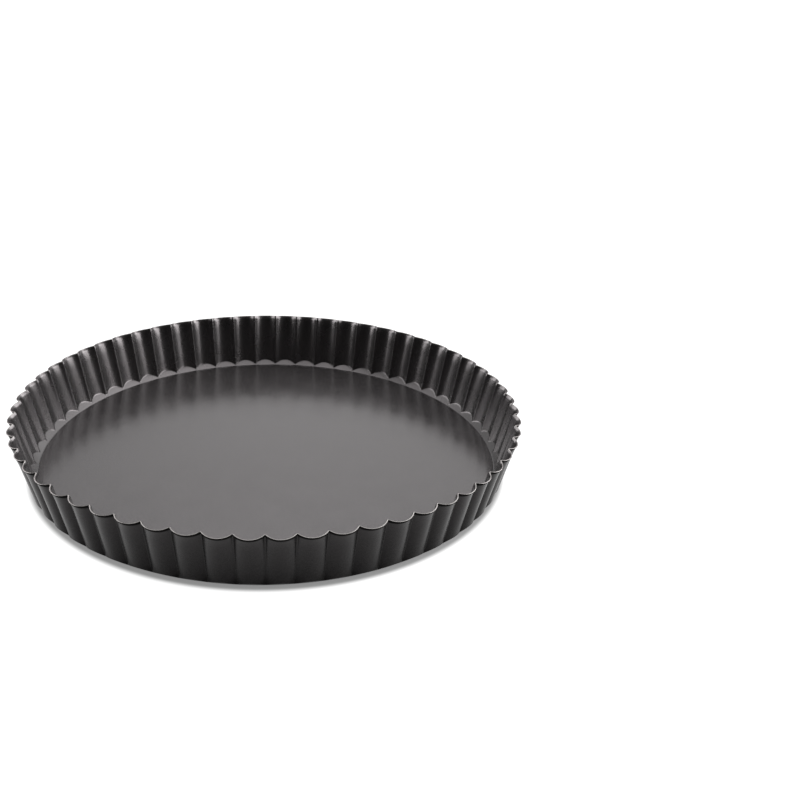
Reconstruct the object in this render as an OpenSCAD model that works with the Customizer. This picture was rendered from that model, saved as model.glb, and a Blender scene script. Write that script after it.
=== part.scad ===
// Round fluted tart pan with a loose base, in millimetres, +Z up.
// The origin is the middle of the pan on the surface it stands on.
// The ring is one drawn sheet: a fluted wall that flares upward, a rounded foot and a flat
// ledge turned inward. The base is a flat disc that lies on the ledge and lifts straight out.

/* [Ring] */
// Diameter over the crests of the flutes, at full height
rim_d = 278; // [180:1:340]
// Height from the standing surface to the rim
height = 33; // [22:0.5:50]
// How much the radius over the crests grows from the foot to full height
flare = 9.3; // [3:0.1:12]
// How far the rim dips from the ridges to the crests
rim_dip = 1; // [0.2:0.1:2]
// Thickness of the ring's sheet
sheet = 0.7; // [0.5:0.05:1]
// Inside radius of the rounded corner at the foot of each flute
foot_corner = 6.3; // [4:0.1:8]
// Slope in degrees at which that corner meets the crests of the flutes
toe_slope = 42; // [30:1:60]

/* [Flutes] */
// Number of flutes round the wall
flutes = 60; // [48:1:72]
// Radius of a flute's curve at the rim
curve_rim = 8.3; // [7.8:0.1:11]
// Radius of a flute's curve at the foot, where the flutes are shallower
curve_foot = 12.8; // [9:0.1:16]

/* [Loose base] */
// Thickness of the loose base
base_t = 1; // [0.8:0.1:2]
// Gap all round between the edge of the base and the ridges of the wall
base_gap = 1.5; // [0.5:0.1:3]
// Width of the ledge under the edge of the base
seat_w = 10; // [4:0.5:20]

/* [Hidden] */
$fn = 96;

coating = [0.24, 0.24, 0.245];
base_coating = [0.36, 0.355, 0.36];

half_pitch = 180 / flutes;
rim_r = rim_d / 2;
foot_r = rim_r - flare;

// One flute is a stretch of a round cone, wider at the foot. Its crest line leans outward with
// the wall, and its axis leans further because the cone gets narrower going up.
crest_lean = atan(flare / height);
crest_run = height / cos(crest_lean);
taper = asin((curve_foot - curve_rim) / crest_run);
axis_lean = crest_lean + taper;

// Radius at which neighbouring flutes meet at height z, where the plane between them cuts the
// cone: the root of a * t * t + b * t + c = 0
function crease(z) =
    let (along = cos(half_pitch),
         k_across = curve_foot - foot_r * cos(axis_lean) - z * sin(axis_lean),
         k_radius = curve_foot - (z * cos(axis_lean) - foot_r * sin(axis_lean)) * tan(taper),
         a = pow(along * cos(axis_lean), 2) + pow(sin(half_pitch), 2)
             - pow(along * sin(axis_lean) * tan(taper), 2),
         b = 2 * along * (cos(axis_lean) * k_across + sin(axis_lean) * tan(taper) * k_radius),
         c = pow(k_across, 2) - pow(k_radius, 2))
    (sqrt(b * b - 4 * a * c) - b) / (2 * a);

// The blunt inner ridge between two flutes stands one sheet inside the crease
ridge_foot = crease(0) - sheet;
ridge_rim = crease(height) - sheet;

// The foot's rounded corner turns from the ledge into the crests of the flutes
corner_out = foot_corner + sheet;
corner_x = foot_r + corner_out * ((1 - cos(toe_slope)) * tan(crest_lean) - sin(toe_slope));
// Directions, in degrees from level, that the flat steps standing for the corner's curve face
corner_faces = [-90, toe_slope / 2 - 90, toe_slope - 90];

base_r = ridge_foot - base_gap;
hole_r = base_r - seat_w;
// Length by which the cutting shapes run past the faces that they cut
past = 20;

// Outline of a round blank with a rounded foot: tangents to an arc of radius r about the
// corner's centre, whose last tangent runs out past the flutes
function foot_outline(r) =
    let (z = corner_out,
         n = len(corner_faces),
         last = corner_faces[n - 1],
         half = (corner_faces[1] - corner_faces[0]) / 2)
    concat(
        [[0, z - r]],
        [for (i = [0 : n - 2])
            let (a = corner_faces[i] + half)
            [corner_x + r * cos(a) / cos(half), z + r * sin(a) / cos(half)]],
        [[corner_x + r * cos(last) - past * sin(last), z + r * sin(last) + past * cos(last)],
         [corner_x + r * cos(last) - past * sin(last), height + past],
         [0, height + past]]);

module foot_blank(r) rotate_extrude() polygon(foot_outline(r));

// Everything under the rim, which dips in a shallow cone from the ridges to the crests
module under_rim()
    rotate_extrude()
        polygon([[0, 0], [rim_r + past, 0],
                 [rim_r + past, height - rim_dip * (rim_r + past - ridge_rim) / (rim_r - ridge_rim)],
                 [ridge_rim, height], [0, height]]);

// Leaning cones, drawn in by thin, round a core that reaches out to the ridges
module fluted_solid(thin) {
    slope = (ridge_rim - ridge_foot) / height;
    translate([0, 0, -past])
        cylinder(h = height + 2 * past,
                 r1 = ridge_foot - slope * past, r2 = ridge_rim + slope * past);
    for (i = [0 : flutes - 1])
        rotate([0, 0, (i + 0.5) * 2 * half_pitch])
            translate([foot_r, 0, 0])
                rotate([0, axis_lean, 0])
                    translate([-curve_foot, 0, -past])
                        cylinder(h = crest_run * cos(taper) + 2 * past,
                                 r1 = curve_foot + past * tan(taper) - thin / cos(taper),
                                 r2 = curve_rim - past * tan(taper) - thin / cos(taper));
}

module fluted_ring() {
    color(coating)
    difference() {
        intersection() {
            fluted_solid(0);
            foot_blank(corner_out);
            under_rim();
        }
        intersection() {
            fluted_solid(sheet);
            foot_blank(foot_corner);
        }
        translate([0, 0, -past])
            cylinder(h = 2 * past, r = hole_r);
    }
}

// Flat disc with a full round edge, lying on the ledge
module loose_base() {
    edge = base_t / 2;
    color(base_coating)
    translate([0, 0, sheet])
        rotate_extrude() {
            square([base_r - edge, base_t]);
            intersection() {
                translate([base_r - edge, edge]) circle(r = edge);
                translate([base_r - edge, 0]) square([base_t, base_t]);
            }
        }
}

fluted_ring();
loose_base();
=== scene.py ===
# %% [markdown]
# # A fluted tart pan with a loose base
#
# The pan is two pieces of pressed steel with a dark non-stick coating: a fluted ring with a
# flat ledge turned inward at its foot, and a flat disc that lies on that ledge. This lesson
# makes both as surfaces worked out from formulas, gives them their coatings and lights them
# as a product on a white table.
#
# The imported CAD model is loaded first. It says where everything is, so nothing is placed by eye.

import bpy
import numpy as np
from mathutils import Matrix, Vector


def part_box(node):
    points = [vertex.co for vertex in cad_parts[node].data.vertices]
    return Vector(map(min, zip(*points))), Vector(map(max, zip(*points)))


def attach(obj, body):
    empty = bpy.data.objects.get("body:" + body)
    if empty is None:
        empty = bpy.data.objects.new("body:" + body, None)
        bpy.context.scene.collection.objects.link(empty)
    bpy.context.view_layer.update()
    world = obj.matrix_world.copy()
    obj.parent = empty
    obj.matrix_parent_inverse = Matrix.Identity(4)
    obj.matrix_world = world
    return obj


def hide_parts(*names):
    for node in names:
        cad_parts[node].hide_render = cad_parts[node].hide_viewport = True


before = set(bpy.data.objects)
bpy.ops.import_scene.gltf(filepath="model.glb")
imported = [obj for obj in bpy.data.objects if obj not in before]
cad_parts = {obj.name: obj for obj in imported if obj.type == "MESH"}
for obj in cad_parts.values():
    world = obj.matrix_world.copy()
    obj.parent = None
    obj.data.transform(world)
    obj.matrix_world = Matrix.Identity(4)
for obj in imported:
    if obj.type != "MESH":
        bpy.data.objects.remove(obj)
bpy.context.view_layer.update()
MM = 0.001

# %% [markdown]
# ## Measures taken from the frame
#
# The ring's box gives the height, and the base's box gives the disc. The rest are the ring's
# own sizes, as a toolmaker would write them on the drawing: the radius over the crests and over
# the ridges between them, at the foot and at the rim, the dip of the rim at the crests, and the
# width of the ledge under the base.

# %% Sizes of the pan
_, ring_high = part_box("fluted_ring")
base_low, base_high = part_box("loose_base")

FLUTES = 60
PITCH = 2 * np.pi / FLUTES
HALF_PITCH = PITCH / 2

HEIGHT = ring_high.z
BASE_R = base_high.x
BASE_BOTTOM = base_low.z
BASE_TOP = base_high.z
SHEET = BASE_BOTTOM
CREST_FOOT, CREST_RIM = 129.7 * MM, 138.75 * MM
RIDGE_FOOT, RIDGE_RIM = 127.95 * MM, 135.28 * MM
RIM_DIP = 1.0 * MM
SEAT = 10 * MM
HOLE_R = BASE_R - SEAT
print(f"height {HEIGHT / MM:.1f} mm, base radius {BASE_R / MM:.1f} mm, sheet {SHEET / MM:.1f} mm")

# %% [markdown]
# ## The camera
#
# The camera stands in front of the pan and a little to the right, and looks down at about 25
# degrees. It is rolled slightly about its own line of sight, as a hand-held camera is. The whole
# stand is then swung round the pan by half a degree, which sets where the flutes fall in view.

# %% Camera
LENS_MM = 46.78
SENSOR_MM = 36
PLACE = Vector((71.222, -520.293, 281.962)) * MM
LOOK_DOWN = np.radians(25.0834)
ROLL = np.radians(3.0741)
SWING = np.radians(-0.52)

# Unturned, a camera looks straight down, so it is tipped up from there
tipped = Matrix.Rotation(np.pi / 2 - LOOK_DOWN, 4, "X")
pose = Matrix.Translation(PLACE) @ tipped @ Matrix.Rotation(ROLL, 4, "Z")
camera_data = bpy.data.cameras.new("camera")
camera_data.lens = LENS_MM
camera_data.sensor_width = SENSOR_MM
camera_data.clip_start = 0.01
camera_data.clip_end = 20
camera = bpy.data.objects.new("camera", camera_data)
bpy.context.scene.collection.objects.link(camera)
camera.matrix_world = Matrix.Rotation(SWING, 4, "Z") @ pose
bpy.context.scene.camera = camera
print(f"camera lens {LENS_MM} mm, {PLACE.length:.2f} m from the pan's middle")


# %% [markdown]
# ## A grid that becomes a mesh
#
# Pressed sheet is one smooth skin, so a piece is a grid of points: one direction runs round the
# pan and the other along a profile. A grid that closes both ways is a torus. It needs no caps,
# and the sheet gets its true thickness. The volume inside the faces shows that they point
# outward, since it comes out negative when they don't.

# %% Grid to mesh
def grid_faces(rows, columns):
    """Corners of the faces of a grid closed both ways. Each face joins a point to the next one
    along its row and to the row after, and the last row and column join the first."""
    index = np.arange(rows * columns).reshape(rows, columns)
    beside, after = np.roll(index, -1, axis=1), np.roll(index, -1, axis=0)
    return np.stack([index, beside, np.roll(after, -1, axis=1), after], -1).reshape(-1, 4)


def grid_mesh(name, points):
    """Object whose mesh is a closed grid of points shaped (rows, columns, 3)."""
    rows, columns, _ = points.shape
    faces = grid_faces(rows, columns)
    mesh = bpy.data.meshes.new(name)
    mesh.vertices.add(rows * columns)
    mesh.vertices.foreach_set("co", points.reshape(-1).astype(np.float32))
    mesh.loops.add(faces.size)
    mesh.loops.foreach_set("vertex_index", faces.reshape(-1).astype(np.int32))
    mesh.polygons.add(len(faces))
    mesh.polygons.foreach_set("loop_start", np.arange(0, faces.size, 4, dtype=np.int32))
    mesh.polygons.foreach_set("loop_total", np.full(len(faces), 4, np.int32))
    mesh.update(calc_edges=True)
    mesh.validate()
    mesh.polygons.foreach_set("use_smooth", np.ones(len(faces), bool))
    piece = bpy.data.objects.new(name, mesh)
    bpy.context.scene.collection.objects.link(piece)
    return piece


def signed_volume(piece):
    """Volume of a closed mesh of four-sided faces. A face is two triangles, and each triangle
    adds a sixth of the triple product of its corners. The sum is positive when the faces point
    out."""
    mesh = piece.data
    corners = np.zeros(len(mesh.loops), np.int32)
    mesh.loops.foreach_get("vertex_index", corners)
    points = np.zeros(len(mesh.vertices) * 3, np.float32)
    mesh.vertices.foreach_get("co", points)
    points = points.reshape(-1, 3).astype(float)
    quad = points[corners.reshape(-1, 4)]
    first = np.einsum("ij,ij->i", quad[:, 0], np.cross(quad[:, 1], quad[:, 2]))
    second = np.einsum("ij,ij->i", quad[:, 0], np.cross(quad[:, 2], quad[:, 3]))
    return (first.sum() + second.sum()) / 6


print("a closed grid of 3 rows and 4 columns has", len(grid_faces(3, 4)), "faces")

# %% [markdown]
# ## The section of the flutes
#
# Cut level with the table, the wall is a row of round bulges that meet in narrow ridges. One
# bulge is an arc, and the ridge is a small arc that joins it to the next bulge. The flutes are
# drawn deeper toward the rim, so the bulge's arc gets tighter going up.

# %% Section of the wall
RIDGE_ROUND = 0.35 * MM


def section_radius(angle, crest, ridge, inset):
    """Radius of the wall at an angle from the middle of a bulge, from 0 to half a pitch. crest
    and ridge are the radii of the outer face there. The bulge is the far side of a circle of
    radius bulge_r about a point on the bulge's middle line. The ridge is the near side of a
    circle of radius RIDGE_ROUND whose centre is in the plane between two bulges. The circles
    touch when bulge_r = (u * u + v * v - RIDGE_ROUND**2) / (2 * (RIDGE_ROUND - u)), where u and
    v are how far the ridge's centre is from the crest, along and across. inset moves the face
    inward, which makes the bulge's circle smaller and the ridge's larger by the same amount."""
    ridge_middle = ridge + RIDGE_ROUND
    u = ridge_middle * np.cos(HALF_PITCH) - crest
    v = ridge_middle * np.sin(HALF_PITCH)
    bulge_r = (u**2 + v**2 - RIDGE_ROUND**2) / (2 * (RIDGE_ROUND - u))
    middle = crest - bulge_r
    share = (bulge_r - inset) / (bulge_r + RIDGE_ROUND)
    under = (bulge_r - inset) ** 2 - (middle * np.sin(angle)) ** 2
    bulge = middle * np.cos(angle) + np.sqrt(np.maximum(under, 0))
    across = HALF_PITCH - angle
    under = (RIDGE_ROUND + inset) ** 2 - (ridge_middle * np.sin(across)) ** 2
    tip = ridge_middle * np.cos(across) - np.sqrt(np.maximum(under, 0))
    # The circles touch on the line between their centres
    touch_x = middle + (u + bulge_r) * share
    touch_y = v * share
    return np.where(angle < np.arctan2(touch_y, touch_x), bulge, tip)


for label, crest, ridge in (("foot", CREST_FOOT, RIDGE_FOOT), ("rim", CREST_RIM, RIDGE_RIM)):
    at_crest, at_ridge = section_radius(np.array([0, HALF_PITCH]), crest, ridge, 0) / MM
    print(f"{label}: crests {at_crest:.2f} mm, ridges {at_ridge:.2f} mm")

# %% [markdown]
# ## How the wall stands
#
# Going up, the wall flares outward in a straight line and then leans out a little more in the
# lip, where the punch let go of the sheet. The last part of a millimetre curls out further,
# because the trimming tool drags the edge. At the foot a sloping band and a small round corner
# lead in to the ledge. They are the same all round, so the flutes end on the band, each in its
# own flat toe.

# %% Shape of the wall going up
LIP_HEIGHT = 8.0 * MM
LIP_BEND = 6.0 * MM
LIP_STEEPER = 0.12
LIP_AT_RIDGES = 0.25
LIP_GAIN = LIP_STEEPER * (LIP_HEIGHT - LIP_BEND / 2)
CURL_HEIGHT = 0.6 * MM
CURL_STEEPER = 0.6
CORNER_X = 125.9 * MM
CORNER_R = 2.0 * MM
TOE_SLOPE = np.radians(40)

lean = np.arctan((CREST_RIM - LIP_GAIN - CREST_FOOT) / HEIGHT)
print(f"wall leans {np.degrees(lean):.1f} degrees, the lip adds {LIP_GAIN / MM:.2f} mm")


def wall_radius(angle, z, inset):
    """Radius of one face at height z. Crest and ridge radii grow in straight lines, and the lip
    adds to them, in full at the crests and by the share LIP_AT_RIDGES at the ridges. At h above
    its start the lip adds LIP_STEEPER * h * h / (2 * LIP_BEND) in the bend, where its slope
    grows evenly, and LIP_STEEPER * (h - LIP_BEND / 2) above it, where its slope stays."""
    share = z / HEIGHT
    h = np.maximum(z - HEIGHT + LIP_HEIGHT, 0)
    inside = np.minimum(h, LIP_BEND)
    lip = LIP_STEEPER * (inside**2 / (2 * LIP_BEND) + np.maximum(h - LIP_BEND, 0))
    crest = CREST_FOOT + (CREST_RIM - LIP_GAIN - CREST_FOOT) * share + lip
    ridge_gain = RIDGE_RIM - LIP_AT_RIDGES * LIP_GAIN - RIDGE_FOOT
    ridge = RIDGE_FOOT + ridge_gain * share + LIP_AT_RIDGES * lip
    return section_radius(angle, crest, ridge, inset)


def foot_line(s, inset):
    """Radius and height at length s along the foot of one face. The ledge is where s is less
    than 0, the round corner follows, and from there the band goes on straight at TOE_SLOPE."""
    corner_r = CORNER_R - inset
    bend = np.clip(s / corner_r, 0, TOE_SLOPE)
    straight = s - corner_r * bend
    r = CORNER_X + corner_r * np.sin(bend) + straight * np.cos(bend)
    return r, CORNER_R - corner_r * np.cos(bend) + straight * np.sin(bend)


# %% [markdown]
# ## Columns round one flute
#
# The ridge between two flutes bends very tightly, and the bulge hardly at all. Columns of
# points are therefore spaced by how much the section turns as well as by length, so that the
# ridge stays round without spending faces on the smooth part.

# %% Columns round one flute
COLUMNS = 22
TURN_LENGTH = 3 * MM
FINE_STEPS = 2000


def flute_columns():
    """Angles from the middle of a flute, from one ridge to the next, set close together where
    the section bends: equal steps of length along the section plus TURN_LENGTH for each radian
    that it turns."""
    fine = np.linspace(0, HALF_PITCH, FINE_STEPS + 1)
    radius = wall_radius(fine, HEIGHT / 2, SHEET)
    x, y = radius * np.cos(fine), radius * np.sin(fine)
    step = np.hypot(np.diff(x), np.diff(y))
    heading = np.unwrap(np.arctan2(np.diff(y), np.diff(x)))
    turn = np.abs(np.diff(heading, prepend=heading[0]))
    cost = np.concatenate([[0], np.cumsum(step + TURN_LENGTH * turn)])
    half = np.interp(np.linspace(0, cost[-1], COLUMNS // 2 + 1), cost, fine)
    return np.concatenate([-half[:0:-1], half[:-1]])


column_angle = flute_columns()
print("columns round the pan:", len(column_angle) * FLUTES)

# %% [markdown]
# ## One side of the sheet
#
# The ring's inner and outer faces are the same surface at two offsets. Each column runs down
# the wall, round a small fillet where the flute meets the band, down the band, round the corner
# and in along the ledge. The wall's rows lie closer together toward the rim, where the lip
# bends. A crest stands further out than a ridge, so it meets the band higher up, and that gives
# each flute its small arched toe.

# %% Profile of one face of the ring
WALL_ROWS = 19
ROW_CROWDING = 1.6
FILLET_ROWS = 4
BAND_ROWS = 4
CORNER_ROWS = 4
LEDGE_SHARES = np.array([0.04, 0.5, 1.0])
TOE_FILLET = 0.5 * MM
RIM_ROUND = 0.3 * MM
LONGEST_TOE = 9 * MM
TOE_STEPS = 1800

rim_share = (wall_radius(np.abs(column_angle), HEIGHT, 0) - RIDGE_RIM) / (CREST_RIM - RIDGE_RIM)
rim_height = HEIGHT - RIM_DIP * np.clip(rim_share, 0, 1)


def face_of_ring(inset):
    """Points (rows, columns, 2) of radius and height for one face over one flute."""
    angle = np.abs(column_angle)
    # Each column meets the band at the first place where the wall isn't outside it
    tries = np.linspace(0, LONGEST_TOE, TOE_STEPS + 1)[:, None]
    foot_r, foot_z = foot_line(tries, inset)
    meet = tries[(wall_radius(angle, foot_z, inset) <= foot_r).argmax(0), 0]

    def foot(s):
        """Points of the foot at lengths s."""
        return np.stack(foot_line(s, inset), -1)

    meet_z = foot(meet)[:, 1]
    top_z = rim_height - RIM_ROUND
    down = np.linspace(0, 1, WALL_ROWS)[:, None] ** ROW_CROWDING
    wall_z = top_z - (top_z - meet_z - TOE_FILLET) * down
    curl = CURL_STEEPER * np.maximum(wall_z - top_z + CURL_HEIGHT, 0)
    wall_r = wall_radius(angle[None, :], wall_z, inset) + curl
    wall_points = np.stack([wall_r, wall_z], -1)

    u = np.linspace(0, 1, FILLET_ROWS + 2)[1:-1, None, None]
    first, last = wall_points[-1], foot(meet - TOE_FILLET)
    fillet_points = (1 - u) ** 2 * first + 2 * u * (1 - u) * foot(meet) + u**2 * last

    top = meet - TOE_FILLET
    corner_end = np.minimum((CORNER_R - inset) * TOE_SLOPE, top)
    band = top + (corner_end - top) * np.linspace(0, 1, BAND_ROWS)[:, None]
    corner = corner_end * (1 - np.linspace(0, 1, CORNER_ROWS + 1)[1:, None])
    ledge = (HOLE_R - CORNER_X) * LEDGE_SHARES[:, None] + 0 * angle
    return np.concatenate([wall_points, fillet_points, foot(np.concatenate([band, corner, ledge]))])


inner_face = face_of_ring(SHEET)
outer_face = face_of_ring(0)
print("rows on each face:", len(inner_face), "and toes up to",
      round(outer_face[WALL_ROWS - 1, :, 1].max() / MM, 2), "mm high")


# %% [markdown]
# ## The trimmed edges
#
# The rim and the hole's edge are cut sheet with the sharpness taken off. Each is a half round
# from one face to the other. The whole profile then runs over the rim, down the inside, round
# the hole's edge and up the outside, and is repeated for every flute. Two marks are kept on the
# points. One is 1 where the rim was trimmed. The other is painted shade carried by the sheen: it
# is 0 on the inner face, goes from 1 at the rim to 1.72 at the foot on the outer face, so the
# outside is painted darker toward the foot, and is 2 on the three outer rows nearest the rim,
# where the sheet curls, which paints a dark line of shade under the rim.

# %% Join the two faces
RIM_EDGE_ROWS = 5
HOLE_EDGE_ROWS = 2
HOLE_ROUND = 0.1 * MM
SHADE_BY_FOOT = 0.72
CURL_ROWS = 3
CURL_SHADE = 2


def round_edge(start, end, reach, steps):
    """Half an ellipse from start to end: it swings out from the line between them by reach,
    a length in radius and height, and goes as a sine while the way across goes as a cosine."""
    swing = np.linspace(0, np.pi, steps + 2)[1:-1, None, None]
    middle, half = (start + end) / 2, (start - end) / 2
    return middle + half * np.cos(swing) + np.array(reach) * np.sin(swing)


rim_edge = round_edge(outer_face[0], inner_face[0], (0, RIM_ROUND), RIM_EDGE_ROWS)
hole_edge = round_edge(inner_face[-1], outer_face[-1], (-HOLE_ROUND, 0), HOLE_EDGE_ROWS)
profile = np.concatenate([rim_edge, inner_face, hole_edge, outer_face[::-1]])

flute_middles = (np.arange(FLUTES) + 0.5) * PITCH
azimuth = (flute_middles[:, None] + column_angle[None, :]).reshape(-1)
radius = np.tile(profile[:, :, 0], (1, FLUTES))
height = np.tile(profile[:, :, 1], (1, FLUTES))
points = np.stack([radius * np.cos(azimuth), radius * np.sin(azimuth), height], -1)
ring = grid_mesh("ring_sheet", points)
outer_rows = slice(-len(outer_face), None)
trimmed = np.zeros(points.shape[:2], np.float32)
trimmed[:RIM_EDGE_ROWS] = 1
# The sheen mark is painted shade that darkens the outside toward the foot and in a line under the
# rim.
sheen_shade = np.zeros(points.shape[:2], np.float32)
sheen_shade[outer_rows] = 1 + SHADE_BY_FOOT * (1 - height[outer_rows] / HEIGHT)
sheen_shade[-CURL_ROWS:] = CURL_SHADE
for label, mark in (("trimmed", trimmed), ("sheen_shade", sheen_shade)):
    ring.data.attributes.new(label, "FLOAT", "POINT").data.foreach_set("value", mark.ravel())
print("ring:", len(ring.data.polygons), "faces, volume", round(signed_volume(ring) / MM**3), "mm3")


# %% [markdown]
# ## The loose base
#
# The base is a blanked disc of thicker sheet, flat so that a tart slides off it, with its edge
# tumbled round. It is a profile turned round the axis, with one point at the middle of each
# side so that no hole is left there.

# %% Loose base
FLAT_ROWS = 40
EDGE_ROWS = 11
BASE_COLUMNS = 360


def turned_disc(name, outline, columns):
    """Object whose mesh is an outline of (radius, height) rows turned round the axis. The first
    and last rows are points on the axis, joined to their neighbours by triangles."""
    turn = np.linspace(0, 2 * np.pi, columns, endpoint=False)
    r, z = outline[1:-1, :1], outline[1:-1, 1:]
    rings = np.stack([r * np.cos(turn), r * np.sin(turn), z + 0 * turn], -1)
    rows = len(rings)
    caps = np.array([[0, 0, outline[0, 1]], [0, 0, outline[-1, 1]]])
    verts = np.concatenate([rings.reshape(-1, 3), caps])
    index = np.arange(rows * columns).reshape(rows, columns)
    beside = np.roll(index, -1, axis=1)
    quads = np.stack([index[:-1], index[1:], beside[1:], beside[:-1]], -1).reshape(-1, 4)
    top = np.stack([np.full(columns, rows * columns), index[0], beside[0]], -1)
    bottom = np.stack([np.full(columns, rows * columns + 1), beside[-1], index[-1]], -1)
    mesh = bpy.data.meshes.new(name)
    mesh.from_pydata(verts.tolist(), [], quads.tolist() + top.tolist() + bottom.tolist())
    mesh.validate()
    mesh.polygons.foreach_set("use_smooth", np.ones(len(mesh.polygons), bool))
    piece = bpy.data.objects.new(name, mesh)
    bpy.context.scene.collection.objects.link(piece)
    return piece


edge_r = (BASE_TOP - BASE_BOTTOM) / 2
flat_r = np.linspace(0, BASE_R - edge_r, FLAT_ROWS)
edge_turn = np.linspace(np.pi / 2, -np.pi / 2, EDGE_ROWS)
edge_line = np.stack([BASE_R - edge_r + edge_r * np.cos(edge_turn),
                      BASE_BOTTOM + edge_r + edge_r * np.sin(edge_turn)], -1)
top_line = np.stack([flat_r, np.full_like(flat_r, BASE_TOP)], -1)
bottom_line = np.stack([flat_r[::-1], np.full_like(flat_r, BASE_BOTTOM)], -1)
outline = np.concatenate([top_line[:-1], edge_line, bottom_line[1:]])
base = turned_disc("base_disc", outline, BASE_COLUMNS)
print("base:", len(base.data.polygons), "faces, radius", round(BASE_R / MM, 2), "mm")


# %% [markdown]
# ## Helpers for materials
#
# A material is a small graph of nodes. Three helpers keep the graphs short enough to read: one
# starts a material, one makes a node and joins its inputs in one line, and one is a ramp, the
# node that most of the graphs use.

# %% Node helpers
def new_material(name):
    """An empty node material and its Principled shader."""
    material = bpy.data.materials.new(name)
    material.use_nodes = True
    tree = material.node_tree
    tree.nodes.clear()
    shader = tree.nodes.new("ShaderNodeBsdfPrincipled")
    output = tree.nodes.new("ShaderNodeOutputMaterial")
    tree.links.new(shader.outputs[0], output.inputs[0])
    return material, tree, shader


def node(tree, kind, inputs=None, **settings):
    """A node with its settings and inputs: an input is a value or another node's output."""
    made = tree.nodes.new(kind)
    for name, value in settings.items():
        setattr(made, name, value)
    for key, value in (inputs or {}).items():
        if isinstance(value, bpy.types.NodeSocket):
            tree.links.new(value, made.inputs[key])
        else:
            made.inputs[key].default_value = value
    return made


def ramp(tree, value, start, end, low, high, kind="LINEAR"):
    """Output that goes from low to high as value goes from start to end, and stays there."""
    return node(tree, "ShaderNodeMapRange", {
        "Value": value, "From Min": start, "From Max": end, "To Min": low, "To Max": high},
        interpolation_type=kind).outputs[0]


print("node helpers ready:", [helper.__name__ for helper in (new_material, node, ramp)])

# %% [markdown]
# ## The dark coating
#
# Both pieces have a dark non-stick coat sprayed and baked on to steel. It is nearly black, and
# what is seen on it is mostly its sheen. The coat is never quite even: its gloss drifts over a
# few centimetres, its surface has a very shallow orange-peel skin, and the grains in it make a
# fine speckle. Where the sheet was trimmed the coat is thin, and a light line of steel shows.

# %% Coated steel
# Scales of the noises, in waves to a metre, and the levels of a noise that a ramp runs between
GLOSS_SCALE, SKIN_SCALE, SPECKLE_SCALE = 60, 450, 1100
GLOSS_NOISE = (0.3, 0.7)
GLOSS_DRIFT = 0.03
SPECKLE_NOISE = (0.35, 0.65)
COAT_IOR = 1.5
SHEEN_TINT = (1.0, 0.93, 0.95, 1)
FULL_SHEEN = 0.5
NO_SHEEN_MARK = 1.8


def coated_steel(name, colour, roughness, grain, speckle, edge=None):
    """Dark baked coating. Slow noise makes the gloss uneven by GLOSS_DRIFT, fine noise makes a
    bump of height grain, and finest noise varies the colour by the share speckle. With an edge
    colour, the marks on the points make the trimmed edge bare metal and take sheen away from
    the outer face, which is painted shade: darker toward the foot and in the curl under the rim."""
    material, tree, shader = new_material(name)
    place = node(tree, "ShaderNodeTexCoord").outputs["Object"]
    slow = node(tree, "ShaderNodeTexNoise", {"Vector": place, "Scale": GLOSS_SCALE, "Detail": 3})
    gloss = ramp(tree, slow.outputs["Fac"], *GLOSS_NOISE,
                 roughness - GLOSS_DRIFT, roughness + GLOSS_DRIFT)
    tree.links.new(gloss, shader.inputs["Roughness"])
    fine = node(tree, "ShaderNodeTexNoise", {"Vector": place, "Scale": SKIN_SCALE, "Detail": 2})
    bump = node(tree, "ShaderNodeBump", {
        "Height": fine.outputs["Fac"], "Strength": 1.0, "Distance": grain})
    tree.links.new(bump.outputs[0], shader.inputs["Normal"])
    dots = node(tree, "ShaderNodeTexNoise", {"Vector": place, "Scale": SPECKLE_SCALE, "Detail": 1})
    tint = node(tree, "ShaderNodeValToRGB", {"Fac": dots.outputs["Fac"]})
    stops = tint.color_ramp.elements
    for stop, position, share in zip(stops, SPECKLE_NOISE, (1 - speckle, 1 + speckle)):
        stop.position = position
        stop.color = (*[c * share for c in colour], 1)
    shader.inputs["IOR"].default_value = COAT_IOR
    shader.inputs["Specular Tint"].default_value = SHEEN_TINT
    if edge is None:
        tree.links.new(tint.outputs[0], shader.inputs["Base Color"])
        return material
    bare = node(tree, "ShaderNodeAttribute", attribute_name="trimmed").outputs["Fac"]
    worn = node(tree, "ShaderNodeMix", {"Factor": bare, 6: tint.outputs[0], 7: (*edge, 1)},
                data_type="RGBA")
    tree.links.new(worn.outputs[2], shader.inputs["Base Color"])
    tree.links.new(bare, shader.inputs["Metallic"])
    # Painted shade: the sheen mark lowers the outer face's sheen toward the foot and takes it all
    # in the curl.
    mark = node(tree, "ShaderNodeAttribute", attribute_name="sheen_shade").outputs["Fac"]
    sheen = ramp(tree, mark, 0.0, NO_SHEEN_MARK, FULL_SHEEN, 0.0)
    tree.links.new(sheen, shader.inputs["Specular IOR Level"])
    return material


print("coating: noises at", (GLOSS_SCALE, SKIN_SCALE, SPECKLE_SCALE), "waves to a metre")

# %% [markdown]
# ## Coats of the two pieces
#
# The ring's coat is a satin one, with less sheen on the outside, which is painted shade. The base's
# coat is a little lighter and glossier, with a stronger speckle, because a flat blank can be
# sprayed from straight above.
# Each piece takes the place of its CAD part and rides on that part's body, so the base lifts
# with its joint.

# %% Coat the pieces and hang them on the frame
def ring_coating():
    """Satin coat of the fluted ring, with a bare trimmed rim."""
    return coated_steel("ring_coating", colour=(0.0060, 0.0056, 0.0056), roughness=0.27,
                        grain=0.003 * MM, speckle=0.35, edge=(0.090, 0.086, 0.084))


def base_coating():
    """Speckled coat of the loose base."""
    return coated_steel("base_coating", colour=(0.012, 0.0110, 0.0112), roughness=0.21,
                        grain=0.0018 * MM, speckle=0.5)


ring.data.materials.append(ring_coating())
base.data.materials.append(base_coating())

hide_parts("fluted_ring")
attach(ring, "ring")
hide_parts("loose_base")
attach(base, "base")
print("coated:", [piece.name for piece in (ring, base)])
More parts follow.
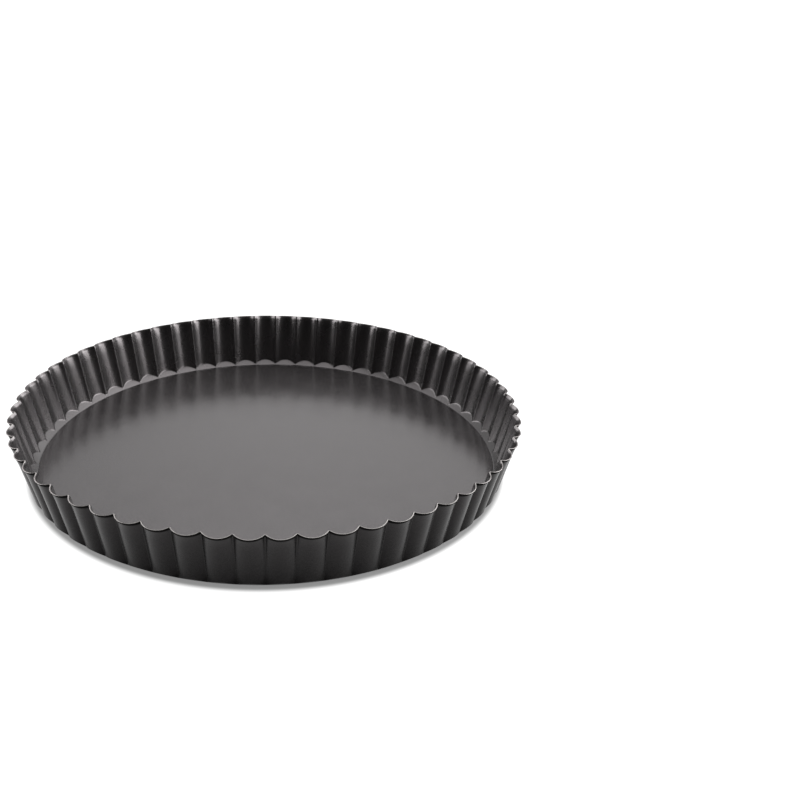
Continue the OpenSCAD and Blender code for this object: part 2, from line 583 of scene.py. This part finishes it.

# %% [markdown]
# ## The table
#
# The pan stands on a plain white sheet that glows as if lit from below, so that it stays white.
# Under the pan the glow is down to a quarter, and it comes back within 4 mm round the foot. That
# is a thin soft painted shadow where the pan stands.

# %% Table
TABLE_HALF = 12.0
TABLE_GREY = 0.08
GLOW_UNDER, GLOW_ROUND = 0.25, 1.0
GLOW_START, GLOW_END = 129 * MM, 133 * MM

table_mesh = bpy.data.meshes.new("table")
corners = [(x * TABLE_HALF, y * TABLE_HALF, 0) for x, y in ((-1, -1), (1, -1), (1, 1), (-1, 1))]
table_mesh.from_pydata(corners, [], [(0, 1, 2, 3)])
table = bpy.data.objects.new("table", table_mesh)
bpy.context.scene.collection.objects.link(table)
white, white_tree, white_shader = new_material("table_white")
white_shader.inputs["Base Color"].default_value = (TABLE_GREY, TABLE_GREY, TABLE_GREY, 1)
white_shader.inputs["Roughness"].default_value = 0.9
white_shader.inputs["Specular IOR Level"].default_value = 0.0
white_shader.inputs["Emission Color"].default_value = (1, 1, 1, 1)
from_middle = node(white_tree, "ShaderNodeVectorMath", {
    0: node(white_tree, "ShaderNodeTexCoord").outputs["Object"]}, operation="LENGTH")
# The dim glow under the pan is a painted shadow.
glow = ramp(white_tree, from_middle.outputs["Value"], GLOW_START, GLOW_END,
            GLOW_UNDER, GLOW_ROUND, "SMOOTHSTEP")
white_tree.links.new(glow, white_shader.inputs["Emission Strength"])
table.data.materials.append(white)
print("table:", 2 * TABLE_HALF, "m across")

# %% [markdown]
# ## The room
#
# Behind the pan stands a large soft white screen that the flat base mirrors. It fades out near
# the table and is a little darker to the left. It gets brighter overhead, where the toes of the
# far flutes look, and has a brighter wing on the right for the toes on the left. The room in
# front is dark, so the outside of the ring stays dark. Each of these is a smooth ramp along one
# axis of the direction in which the room is seen.

# %% Room
SCREEN_LEVEL = 1.6
OVERHEAD_GAIN = 2.8
WING_GAIN = 1.3
LEFT_SHARE = 0.72
FRONT_LEVEL = 0.06

world = bpy.data.worlds.new("studio")
bpy.context.scene.world = world
world.use_nodes = True
room = world.node_tree
room.nodes.clear()
direction = node(room, "ShaderNodeTexCoord").outputs["Generated"]
along = node(room, "ShaderNodeSeparateXYZ", {0: direction}).outputs


def room_ramp(axis, start, end, low, high):
    """Level that goes smoothly from low to high along one axis of the direction."""
    return ramp(room, along[axis], start, end, low, high, "SMOOTHSTEP")


def maths(first, second, operation):
    """Output of one sum or product in the room's graph."""
    return node(room, "ShaderNodeMath", {0: first, 1: second}, operation=operation).outputs[0]


behind = room_ramp("Y", start=-0.35, end=0.35, low=0.0, high=1.0)
above_table = room_ramp("Z", start=0.10, end=0.36, low=0.0, high=1.0)
overhead = room_ramp("Z", start=0.52, end=0.75, low=0.0, high=OVERHEAD_GAIN)
wing = room_ramp("X", start=0.12, end=0.35, low=0.0, high=WING_GAIN)
left_fade = room_ramp("X", start=-0.40, end=-0.08, low=LEFT_SHARE, high=1.0)

screen = maths(maths(overhead, wing, "ADD"), SCREEN_LEVEL, "ADD")
screen = maths(maths(screen, above_table, "MULTIPLY"), behind, "MULTIPLY")
screen = maths(screen, left_fade, "MULTIPLY")
strength = maths(screen, FRONT_LEVEL, "ADD")
background = node(room, "ShaderNodeBackground", {"Color": (1, 1, 1, 1), "Strength": strength})
node(room, "ShaderNodeOutputWorld", {0: background.outputs[0]})
print(f"room: screen behind at {SCREEN_LEVEL + FRONT_LEVEL:.2f}, front at {FRONT_LEVEL}")


# %% [markdown]
# ## The lamps
#
# Two soft boxes, one at each side, draw the bright streaks down the flutes, one streak in each.
# The right one is stronger. A weaker box overhead lights the coats themselves. The view
# transform is Standard, so that white stays white.

# %% Lamps
def softbox(name, place, aim, size, radiance):
    """A rectangular lamp of even brightness. Its power is pi times its area times radiance."""
    data = bpy.data.lights.new(name, "AREA")
    data.shape = "RECTANGLE"
    data.size, data.size_y = size
    data.energy = np.pi * size[0] * size[1] * radiance
    lamp = bpy.data.objects.new(name, data)
    bpy.context.scene.collection.objects.link(lamp)
    lamp.location = place
    way = Vector(aim) - Vector(place)
    lamp.rotation_mode = "QUATERNION"
    lamp.rotation_quaternion = way.to_track_quat("-Z", "Y")
    return lamp


softbox("overhead", place=(0, 0.25, 1.3), aim=(0, 0.1, 0), size=(1.2, 1.2), radiance=3.5)
for name, side, radiance in (("right side", 1, 13.0), ("left side", -1, 9.0)):
    softbox(name, place=(side * 1.25, 0.12, 0.48), aim=(0, 0, 0.02), size=(1.4, 0.7),
            radiance=radiance)

bpy.context.scene.view_settings.view_transform = "Standard"
